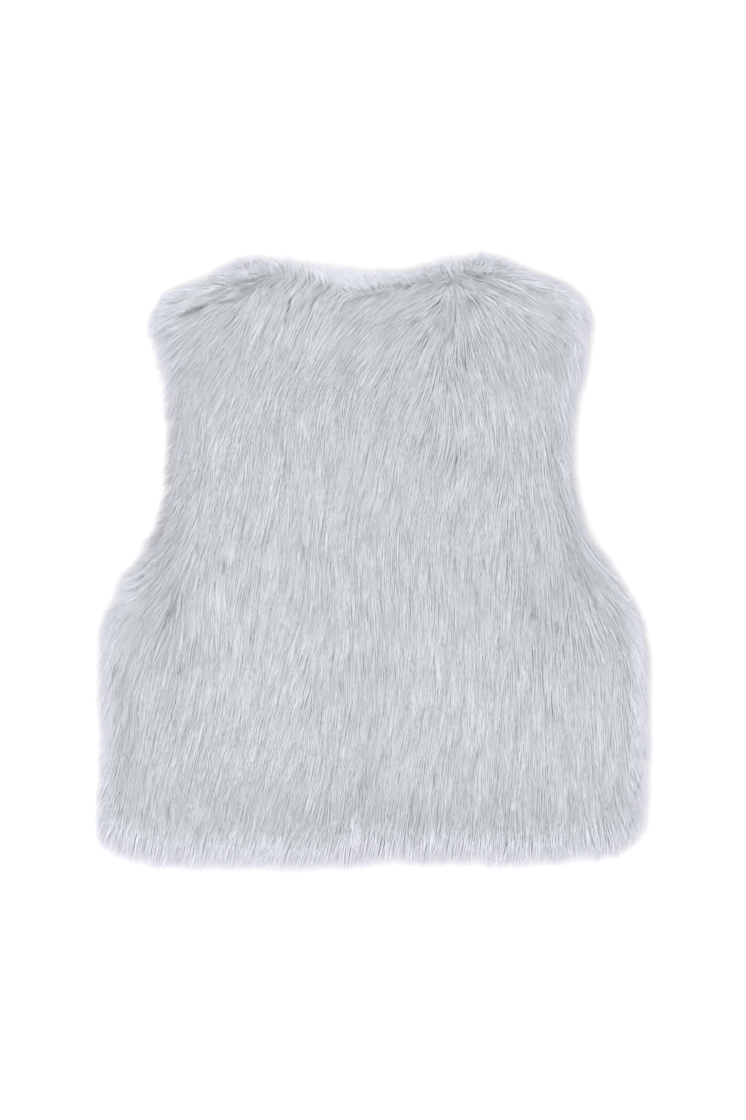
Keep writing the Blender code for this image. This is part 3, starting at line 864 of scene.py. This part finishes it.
# %% Part the layers into zones
BACK_ZONES = ("yoke", "middle", "lower", "hem")
WISP_RADIUS = (0.00018, 0.00029)
FINE_RADIUS = (0.00013, 0.00021)

back_furs = []
for zone, label in enumerate(BACK_ZONES):
    for coat, layer, radii in ((wisps, "wisps", WISP_RADIUS), (fine, "fine", FINE_RADIUS)):
        roots = coat.path[:, 0, 1]
        limits = np.quantile(roots, [1 - (zone + 1) / len(BACK_ZONES), 1 - zone / len(BACK_ZONES)])
        chosen = (roots > limits[0]) & (roots <= limits[1])
        back_furs.append(make_fur(f"{label}_{layer}", Coat(*[values[chosen] for values in coat]), radii))
back_furs.append(make_fur("yoke_filling", yoke, FINE_RADIUS))

# %% [markdown]
# Longer guard hairs lie sparsely on top of the pile. About a third of them are in shade and the others catch
# a little more light, which draws the long fine strokes of the photograph. They differ more where the pile is
# ruffled, and not at all at the rim.

# %% Add the guard hairs
GUARD = Layer(on_back, 0.0040, lengths=(0.050, 0.076), points=3, depth=(-0.0016, 0.0004), shade=0.0)
GUARD_DARK_SHARE = 0.32
GUARD_TONES = (-0.13, 0.01)
GUARD_CHANCE = 0.03
UNEVEN = (
    (0.125, -0.030, 0.035, 0.035, 1.2), (0.000, 0.155, 0.150, 0.045, 1.2),
    (-0.160, -0.010, 0.025, 0.030, 0.9),
)


def guard_coat():
    """Sparse long hairs on top of the others, some shaded and some bright."""
    coat = back_coat(GUARD)
    dark = chance.random(len(coat.tone)) < GUARD_DARK_SHARE
    uneven = (1 + patches(UNEVEN, coat.path[:, 1, 0], coat.path[:, 1, 1])) * (1 - at_rim(coat.path))
    change = np.where(dark, *GUARD_TONES) + chance.normal(0, GUARD_CHANCE, len(dark))
    return coat._replace(tone=coat.tone + change * uneven)


back_furs.append(make_fur("guard_hairs", guard_coat(), FINE_RADIUS))

# %% [markdown]
# At the sides the nap runs along the cut edge and would leave it bare. So a fringe of short hairs is brushed
# outwards over that edge, and hangs down from it towards the floor.

# %% Hang the fringe
FRINGE_SPACING = 0.0012
FRINGE_HALF_WIDTH = 0.004
FRINGE_LENGTH = (0.014, 0.026)
FRINGE_OUTWARD = 0.6
FRINGE_RISE = (0.2, 0.6)
FRINGE_TIP = (0.004, 0.010)
FRINGE_TONE = 1.03
FRINGE_CHANCE = 0.02
# FRINGE_TINT paints the fringe lilac: painted light for the paper's light that shows through its thin hairs.
FRINGE_TINT = 0.45
ALONGSIDE = 0.45
# Painted shade on the rim and fringe hairs along the armholes, where the back's fur overhangs them.
RIM_PAINTED_SHADE = ((-0.142, 0.070, 0.024, 0.080, -0.42), (0.143, 0.060, 0.020, 0.080, -0.04))


def at_side(x, y):
    """True along the back's cut edge where the nap runs beside it and not over it."""
    beside = (read(runs_out, x, y) < ALONGSIDE) & (read(back_edge, x, y) > SEAM_CLEAR)
    return beside & (np.abs(read(back_outer, x, y)) < FRINGE_HALF_WIDTH)


def fringe_coat():
    """Hairs that hang over the back's cut edge, which the nap alone would leave bare at the sides."""
    x, y = scatter(FRINGE_SPACING, at_side)
    path, lock, _ = lay_hairs(back_locks, x, y, FRINGE_LENGTH, 3, FRINGE_OUTWARD,
                              held_in=patches(HELD_IN, x, y))
    path[:, 0, 2] = BACK_LEVEL
    path[:, 1, 2] = BACK_LEVEL + chance.uniform(*FRINGE_RISE, len(x)) * (read(pile_top, x, y) - BACK_LEVEL)
    path[:, 2, 2] = chance.uniform(*FRINGE_TIP, len(x))
    tone = FRINGE_TONE + back_locks.tone[lock] + chance.normal(0, FRINGE_CHANCE, len(x))
    # The fringe takes the painted shade at the armholes.
    return Coat(path, tone + patches(RIM_PAINTED_SHADE, x, y), np.full(len(x), FRINGE_TINT))


back_furs.append(make_fur("back_fringe", fringe_coat(), WISP_RADIUS))

# %% [markdown]
# A parting is where the pile opens and its shaded depth shows. A real gap would soon be covered by other
# strands, so the shade of each parting is painted on a few dark hairs along one stroke. The tuft in the swirl
# to the right of the neck is brushed on in the same way with many bright hairs, some of them sunk a little.

# %% Brush on the partings and the tuft
BRUSH_TURN = 0.06
BRUSH_LENGTH = (0.45, 0.75)
BRUSH_START = (-0.15, 0.45)
BRUSH_DEPTH = 0.003
BRUSH_LIFT = 0.0014
BRUSH_TONE = 0.04
PARTING_HAIRS = 10
PARTING_WIDTH = 0.0005
PARTING_RADIUS = (0.00011, 0.00018)
TUFT_HAIRS = 34
TUFT_WIDTH = 0.0017
TUFT_SINK = 0.0008
# Each stroke: across, height, lean in degrees, length, tone.
PARTING_SHADE_STROKES = (
    (-0.116, 0.187, -71, 0.026, 0.46), (-0.118, 0.185, -66, 0.020, 0.50), (-0.104, 0.197, -76, 0.020, 0.50),
    (-0.087, 0.199, -72, 0.014, 0.58), (-0.079, 0.205, -48, 0.016, 0.60), (-0.089, 0.194, -62, 0.016, 0.60),
    (-0.100, 0.189, -76, 0.020, 0.56), (-0.130, 0.181, -66, 0.018, 0.58), (0.067, 0.210, 70, 0.012, 0.62),
    (0.081, 0.201, 67, 0.027, 0.74), (0.055, 0.166, -26, 0.018, 0.76), (0.0625, 0.155, 16, 0.022, 0.76),
    (0.044, 0.200, -65, 0.024, 0.70), (0.106, 0.200, 61, 0.026, 0.72), (0.108, 0.178, 50, 0.010, 0.70),
    (-0.046, 0.190, -42, 0.016, 0.68), (-0.022, 0.178, -34, 0.014, 0.74), (0.090, 0.186, 40, 0.018, 0.76),
    (0.030, 0.178, -44, 0.018, 0.76), (0.128, 0.180, 52, 0.016, 0.74), (-0.160, 0.002, -45, 0.010, 0.60),
    (-0.164, -0.009, -55, 0.009, 0.60), (-0.167, -0.017, -60, 0.010, 0.60),
    (-0.185, -0.073, -12, 0.012, 0.54), (-0.138, -0.070, -8, 0.016, 0.54),
    (-0.142, -0.027, -5, 0.014, 0.56), (-0.050, 0.013, -3, 0.016, 0.58), (-0.107, 0.002, -5, 0.012, 0.60),
    (-0.126, 0.014, -5, 0.012, 0.60), (-0.150, -0.169, 18, 0.020, 0.66), (-0.182, -0.174, 0, 0.012, 0.60),
    (0.118, 0.017, -5, 0.012, 0.60), (0.079, 0.004, 0, 0.012, 0.62), (0.131, -0.041, 5, 0.014, 0.54),
    (0.116, -0.031, -15, 0.014, 0.56), (0.157, -0.027, 20, 0.014, 0.62), (0.173, -0.152, 15, 0.014, 0.74),
    (0.186, -0.160, 20, 0.010, 0.74), (0.028, -0.165, -5, 0.014, 0.60), (0.044, -0.150, -8, 0.012, 0.62),
)
TUFTS = (
    (0.056, 0.207, -74, 0.022, 1.02), (0.054, 0.203, -66, 0.022, 1.03), (0.052, 0.199, -58, 0.020, 1.02),
    (0.060, 0.207, 70, 0.024, 1.02), (0.062, 0.203, 64, 0.024, 1.03), (0.064, 0.199, 56, 0.022, 1.02),
    (0.054, 0.197, -30, 0.020, 1.02), (0.060, 0.197, 26, 0.020, 1.02), (0.057, 0.199, -4, 0.018, 1.03),
    (0.053, 0.198, -44, 0.022, 1.02), (0.061, 0.199, 41, 0.022, 1.02), (0.055, 0.198, -17, 0.020, 1.02),
    (0.059, 0.198, 12, 0.020, 1.02), (0.046, 0.188, -52, 0.022, 1.0), (0.040, 0.183, -48, 0.022, 1.0),
)


def brush(strokes, hairs, width, most_sink, tint):
    """Short hairs that lie on top along single strokes of the brush."""
    rows = np.repeat(np.array(strokes), hairs, axis=0)
    count = len(rows)
    lean = np.radians(rows[:, 2]) + chance.normal(0, BRUSH_TURN, count)
    aside = chance.normal(0, width, count)
    length = rows[:, 3] * chance.uniform(*BRUSH_LENGTH, count)
    start = rows[:, 3] * chance.uniform(*BRUSH_START, count)
    path = np.zeros((count, 3, 3))
    for k, way in enumerate(WAYS[3]):
        path[:, k, 0] = rows[:, 0] + aside * np.cos(lean) + (start + length * way) * np.sin(lean)
        path[:, k, 1] = rows[:, 1] + aside * np.sin(lean) - (start + length * way) * np.cos(lean)
    level = read(pile_top, path[:, 0, 0], path[:, 0, 1]) - BRUSH_DEPTH
    path = raise_hairs(path, level, chance.uniform(0, most_sink, count) - BRUSH_LIFT)
    return Coat(path, rows[:, 4] + chance.normal(0, BRUSH_TONE, count), np.full(count, tint))


partings = brush(PARTING_SHADE_STROKES, PARTING_HAIRS, PARTING_WIDTH, 0.0, tint=0.0)
back_furs.append(make_fur("back_parting_shade", partings, PARTING_RADIUS))
swirl = brush(TUFTS, TUFT_HAIRS, TUFT_WIDTH, TUFT_SINK, tint=0.0)
back_furs.append(make_fur("swirl_tuft", swirl, FINE_RADIUS))

# %% [markdown]
# The fronts lie underneath with their pile pressed to the floor. What shows of them all round is a soft rim
# that peeps out from under the back, lower than the back's fur and paler against the white, where the paper's
# light shows through; that paleness is painted light on these hairs. So these hairs are brushed outwards and
# fall towards the floor.

# %% Brush out the fronts' rims
RIM_SPACING = 0.0014
RIM_LOCK_SPACING = 0.0060
RIM_HALF_WIDTH = 0.006
RIM_LENGTH = (0.016, 0.034)
RIM_OUTWARD = 0.45
RIM_TURN = 0.12
RIM_REACH = (-0.0005, 0.0055)
RIM_PULL = 0.5
RIM_TIP = (0.0015, 0.0078)
RIM_FALL = (0, 0.2, 1.0)
# RIM_TONE and RIM_FUR_TINT paint the rim paler and lilac: painted light for the paper's light that shows
# through its thin hairs.
RIM_TONE = 1.06
RIM_FUR_TINT = 0.9
FRONT_CHANCE = 0.03


def rim_coat(own_edge):
    """Hairs brushed outwards from under the back's edge."""
    def near_rim(x, y):
        return (np.abs(read(outer, x, y)) < RIM_HALF_WIDTH) & (read(own_edge, x, y) > SEAM_CLEAR)

    x, y = scatter(RIM_SPACING, near_rim)
    locks = make_locks(RIM_LOCK_SPACING, near_rim, RIM_REACH)
    locks = locks._replace(pull=locks.pull * RIM_PULL)
    path, lock, _ = lay_hairs(locks, x, y, RIM_LENGTH, 3, outward=RIM_OUTWARD, spread_turn=RIM_TURN)
    tip = chance.uniform(*RIM_TIP, len(x))
    root = FRONT_GROUND + chance.uniform(0, BACK_GROUND - FRONT_GROUND, len(x))
    path[:, :, 2] = root[:, None] + np.array(RIM_FALL) * (tip - root)[:, None]
    # The rim takes the painted shade at the armholes.
    tone = RIM_TONE + locks.tone[lock] + chance.normal(0, FRONT_CHANCE, len(x)) + patches(RIM_PAINTED_SHADE, x, y)
    return Coat(path, tone, np.full(len(x), RIM_FUR_TINT))


print("rim covers", round((np.abs(outer) < RIM_HALF_WIDTH).sum() * MAP_STEP ** 2, 4), "m2")

# %% [markdown]
# The rest of the fronts' pile is pressed flat under the gilet's own weight. The floor hides it, so a sparse
# layer is enough to show what the gilet lies on when it is seen from below.

# %% Press the fronts' pile flat
FLAT_SPACING = 0.0085
FLAT_INSET = 0.004
FLAT_LENGTH = (0.030, 0.040)
FLAT_REACH = (-0.002, 0.0)
FLAT_HEIGHTS = (FRONT_GROUND, 0.003, 0.0012)
FLAT_TONE = 0.95
FLAT_TINT = 0.2


def flat_coat(own_edge):
    """The pressed pile underneath, sparse because the floor hides it."""
    def under(x, y):
        return (read(outer, x, y) > FLAT_INSET) & (read(own_edge, x, y) > FLAT_INSET)

    x, y = scatter(FLAT_SPACING, under)
    locks = make_locks(LOCK_SPACING, under, FLAT_REACH)
    path, lock, _ = lay_hairs(locks, x, y, FLAT_LENGTH, 3)
    path[:, :, 2] = np.array(FLAT_HEIGHTS)
    return Coat(path, FLAT_TONE + locks.tone[lock], np.full(len(x), FLAT_TINT))


print("pressed pile covers", round((outer > FLAT_INSET).sum() * MAP_STEP ** 2, 4), "m2")

# %% [markdown]
# The ends of the fronts turn over the shoulders and meet the back there. Their hair runs outwards along the
# shoulder and lies low next to the seam, so a dark parting marks it. At the neck points it is brushed
# outwards even more.

# %% Turn the fronts over the shoulders
SHOULDER_SPACING = 0.0011
SHOULDER_LENGTH = (0.022, 0.038)
SHOULDER_REACH = (-0.005, 0.004)
SHOULDER_OUTWARD = 0.30
SHOULDER_DEPTH = 0.006
SHOULDER_SINK = 0.0016
SHOULDER_LIFT = 0.0012
SHOULDER_TONE = 1.01
# SHOULDER_SHADE is the share of the painted shade and light that these hairs take, and SHOULDER_TINT their
# share of the painted lilac rim light.
SHOULDER_SHADE = 0.4
SHOULDER_TINT = 0.68
SEAM_SINK = 0.003
SEAM_FADE = 0.008
STRIP_INSET = 0.003
NECK_CLEAR = 0.006
NECK_POINTS = ((-0.088, 0.212, 0.018, 0.015, 0.45), (0.080, 0.212, 0.018, 0.015, 0.45))


def shoulder_coat(node):
    """Hairs on the strip that turns over the shoulder."""
    def on_strip(x, y):
        beyond = (read(back_edge, x, y) < SEAM_CLEAR) & (read(neck_edge, x, y) < NECK_CLEAR)
        own_side = x < 0 if node == "front_left" else x > 0
        return beyond & own_side & (y > SHOULDER_LOW) & (read(edge, x, y) > STRIP_INSET)

    x, y = scatter(SHOULDER_SPACING, on_strip)
    locks = make_locks(LOCK_SPACING, on_strip, SHOULDER_REACH)
    outward = SHOULDER_OUTWARD + patches(NECK_POINTS, x, y)
    path, lock, _ = lay_hairs(locks, x, y, SHOULDER_LENGTH, 4, outward)
    from_seam = np.clip(-read(back_edge, x, y), 0, 1)
    sink = np.abs(chance.normal(0, SHOULDER_SINK, len(x))) + locks.sink[lock] - SHOULDER_LIFT
    sink += SEAM_SINK * np.exp(-from_seam / SEAM_FADE)
    path = raise_hairs(path, read(pile_top, x, y) - SHOULDER_DEPTH, sink)
    tone = SHOULDER_TONE + locks.tone[lock] + chance.normal(0, FRONT_CHANCE, len(x))
    # Part of the painted shade and light of the back.
    tone += SHOULDER_SHADE * patches(PAINTED_SHADE_AND_LIGHT, x, y)
    return Coat(path, tone, SHOULDER_TINT * tip_tint(path, locks.fade[lock]))


front_furs = {}
for node, own_edge in front_edges.items():
    front_furs[node] = [
        make_fur(node + "_rim_fur", rim_coat(own_edge), WISP_RADIUS),
        make_fur(node + "_flat_fur", flat_coat(own_edge), WISP_RADIUS),
        make_fur(node + "_shoulder_fur", shoulder_coat(node), WISP_RADIUS),
    ]

# %% [markdown]
# Along the back neck a narrow strip of fur is turned over the edge. Its hair stands up and outwards, against
# the nap of the back, so it looks softer, and paler where the paper's light shows through it, which is painted
# light on its hairs; a dark line parts it from the back. It leans to one side or the other along the strip,
# and a small tuft at its right end joins it to the swirl there.

# %% Grow the neck's fur
NECK_SPACING = 0.00085
NECK_LOCK_SPACING = 0.0045
NECK_LENGTH = (0.018, 0.030)
NECK_SPREAD = math.radians(5)
NECK_REACH = (-0.003, 0.004)
NECK_OVER = (0.000, 0.007)
NECK_ENDS = 0.005
NECK_DEPTH = 0.004
NECK_LOW_SHARE = 0.3
NECK_LOW_SINK = (0.001, 0.006)
NECK_SINK = 0.0012
NECK_LIFT = 0.0010
# NECK_TONE, NECK_TINT and NECK_TUFT_TINT paint the strip paler and lilac: painted light for the paper's light
# that shows through its upright hairs.
NECK_TONE = 1.04
NECK_TINT = 0.66
NECK_TUFT_TINT = 0.6
# Across, and lean in degrees.
NECK_LEANS = (
    (-0.100, 55), (-0.075, 30), (-0.045, 15), (0.000, 30), (0.030, 42), (0.046, 20), (0.058, 4), (0.070, -20),
)
NECK_LAP = ((0.061, 0.208, 0.010, 0.015, 0.006),)
NECK_TUFTS = (
    (0.050, 0.208, -165, 0.014, 1.0), (0.056, 0.209, -175, 0.014, 1.0), (0.062, 0.209, 175, 0.014, 1.0),
    (0.068, 0.210, 165, 0.014, 1.0), (0.072, 0.211, 135, 0.018, 1.0), (0.078, 0.211, 122, 0.022, 1.0),
    (0.085, 0.210, 106, 0.020, 1.0), (0.093, 0.207, 94, 0.018, 1.0),
)


def on_neck(x, y):
    """True on the neck strip away from the outline, and a little over its seam and its ends."""
    over = read(back_edge, x, y) < chance.uniform(*NECK_OVER, len(x)) + patches(NECK_LAP, x, y)
    return over & (read(neck_edge, x, y) > -NECK_ENDS) & (read(edge, x, y) > NECK_OVERHANG)


def neck_coat():
    """Hairs that stand up and outwards along the neck, some of them low between the others."""
    x, y = scatter(NECK_SPACING, on_neck)
    locks = make_locks(NECK_LOCK_SPACING, on_neck, NECK_REACH)
    locks = locks._replace(turn=locks.turn + np.radians(np.interp(locks.x, *zip(*NECK_LEANS))))
    path, lock, _ = lay_hairs(locks, x, y, NECK_LENGTH, 4, outward=1.0, spread_turn=NECK_SPREAD)
    low = chance.random(len(x)) < NECK_LOW_SHARE
    low_sink = chance.uniform(*NECK_LOW_SINK, len(x))
    sink = np.where(low, low_sink, np.abs(chance.normal(0, NECK_SINK, len(x))) - NECK_LIFT)
    path = raise_hairs(path, read(pile_top, x, y) - NECK_DEPTH, sink)
    # Painted shade and light from the back's patches.
    tone = NECK_TONE + locks.tone[lock] + chance.normal(0, FRONT_CHANCE, len(x)) + patches(PAINTED_SHADE_AND_LIGHT, x, y)
    return Coat(path, tone, np.full(len(x), NECK_TINT))


neck_furs = [make_fur("neck_fur", neck_coat(), FINE_RADIUS)]
neck_tuft = brush(NECK_TUFTS, TUFT_HAIRS, TUFT_WIDTH, TUFT_SINK, tint=NECK_TUFT_TINT)
neck_furs.append(make_fur("neck_tuft", neck_tuft, FINE_RADIUS))

# %% [markdown]
# Shader maths reads best as arithmetic, so one small class wraps a node's output and lets plus, minus and
# times add the Math nodes. Every other node comes from its node method, which sets the node's own settings
# before its inputs.

# %% Wrap shader sockets
class Shade:
    """An output in a material's node tree that can be used in sums."""

    def __init__(self, tree, socket=None):
        self.tree = tree
        self.socket = socket

    def node(self, kind, settings=None, inputs=None, output=0):
        """Add a node, set it up, feed its inputs and return one of its outputs."""
        made = self.tree.nodes.new(kind)
        for label, value in (settings or {}).items():
            setattr(made, label, value)
        for label, value in (inputs or {}).items():
            if isinstance(value, Shade):
                self.tree.links.new(value.socket, made.inputs[label])
            else:
                made.inputs[label].default_value = value
        return Shade(self.tree, made.outputs[output])

    def maths(self, operation, first, second):
        """The result of one Math node."""
        return self.node("ShaderNodeMath", {"operation": operation}, {0: first, 1: second})

    def __add__(self, other):
        return self.maths("ADD", self, other)

    def __radd__(self, other):
        return self.maths("ADD", other, self)

    def __sub__(self, other):
        return self.maths("SUBTRACT", self, other)

    def __rsub__(self, other):
        return self.maths("SUBTRACT", other, self)

    def __mul__(self, other):
        return self.maths("MULTIPLY", self, other)

    def __rmul__(self, other):
        return self.maths("MULTIPLY", other, self)

    def blend(self, first, second):
        """A colour that goes from the first to the second as this value goes from 0 to 1."""
        # The Mix node's colours are its inputs 6 and 7, and its output 2.
        return self.node("ShaderNodeMix", {"data_type": "RGBA"}, {0: self, 6: first, 7: second}, 2)

    def scaled(self, amount):
        """This colour, lighter or darker."""
        return self.node("ShaderNodeVectorMath", {"operation": "SCALE"}, {0: self, "Scale": amount})


def new_finish(name, roughness, specular):
    """An empty finish: its material, a Shade to build on and its shader."""
    material = bpy.data.materials.new(name)
    material.use_nodes = True
    shader = material.node_tree.nodes["Principled BSDF"]
    shader.inputs["Roughness"].default_value = roughness
    shader.inputs["Specular IOR Level"].default_value = specular
    return material, Shade(material.node_tree), shader


print("finishes wanted: one for", len(grounds), "cloths and one for their fur")

# %% [markdown]
# The fibres are a pale silver grey that is a touch blue. Painted shade makes them darker at the root, where
# neighbours shade them, and painted light makes them lilac at the rim, where the pile thins out and the
# paper's light shows through. All of that comes from the attributes that each strand carries, so the colour
# belongs to the strand and moves with it.

# %% Finish the fibres
# ROOT_COLOUR is painted shade at the roots, and LILAC_COLOUR is painted light at the rim.
ROOT_COLOUR = (0.656, 0.685, 0.705, 1)
TIP_COLOUR = (0.695, 0.720, 0.740, 1)
LILAC_COLOUR = (0.846, 0.856, 0.940, 1)
LILAC_FROM = 1.0
LILAC_FULL = 1.8
TINT_WEIGHT = 1.6
FIBRE_ROUGHNESS = 0.6
SPECULAR = 0.15

fibre, build, fibre_shader = new_finish("silver_fibre", FIBRE_ROUGHNESS, SPECULAR)


def carried(label):
    """A value that each strand carries."""
    return build.node("ShaderNodeAttribute", {"attribute_name": label}, output="Fac")


way = carried("way")
# Painted shade fades out from the root to the tip.
lit = way * (2 - way)
lilac = build.node(
    "ShaderNodeMapRange", {"interpolation_type": "SMOOTHSTEP"},
    {"Value": way + TINT_WEIGHT * carried("tint"), "From Min": LILAC_FROM, "From Max": LILAC_FULL},
)
hair_colour = lilac.blend(lit.blend(ROOT_COLOUR, TIP_COLOUR), LILAC_COLOUR).scaled(carried("tone"))
fibre.node_tree.links.new(hair_colour.socket, fibre_shader.inputs["Base Color"])
print("fibre finish:", len(fibre.node_tree.nodes), "nodes")

# %% [markdown]
# The ground is a plain fine knit in the same dye. Two crossed waves make its small loops, as a bump and as a
# slight change of tone.

# %% Finish the ground cloth
GROUND_COLOUR = (0.60, 0.63, 0.66, 1)
GROUND_DARK = (0.50, 0.53, 0.56, 1)
KNIT_ROUGHNESS = 0.9
KNIT_SCALE = 260.0
KNIT_WOBBLE = 1.5
WALES_SHARE = 0.6
LOOP_BUMP = 0.4
LOOP_HEIGHT = 0.0004

knit, build, knit_shader = new_finish("knit_ground", KNIT_ROUGHNESS, SPECULAR)
place = build.node("ShaderNodeTexCoord", output="Object")
rows = {"Vector": place, "Scale": KNIT_SCALE, "Distortion": KNIT_WOBBLE}
wales, courses = [build.node("ShaderNodeTexWave", {"bands_direction": along}, rows) for along in "XY"]
loops = wales * WALES_SHARE + courses * (1 - WALES_SHARE)
knit.node_tree.links.new(loops.blend(GROUND_DARK, GROUND_COLOUR).socket, knit_shader.inputs["Base Color"])
bump = build.node("ShaderNodeBump", inputs={"Strength": LOOP_BUMP, "Distance": LOOP_HEIGHT, "Height": loops})
knit.node_tree.links.new(bump.socket, knit_shader.inputs["Normal"])
print("ground finish:", len(knit.node_tree.nodes), "nodes")

# %% [markdown]
# Last, each piece takes its finish, rides on the gilet's one body and stands for the solid that it fills.

# %% Dress the solids
furs = {"back_panel": back_furs, **front_furs, "neck_facing": neck_furs}
for node, ground in grounds.items():
    ground.data.materials.clear()
    ground.data.materials.append(knit)
    for strands in furs[node]:
        strands.data.materials.append(fibre)
    for piece in [ground, *furs[node]]:
        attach(piece, "root")
        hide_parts(node)

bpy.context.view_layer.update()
strand_faces = sum(len(strands.data.polygons) for pieces in furs.values() for strands in pieces)
print("triangles in the fur:", strand_faces)
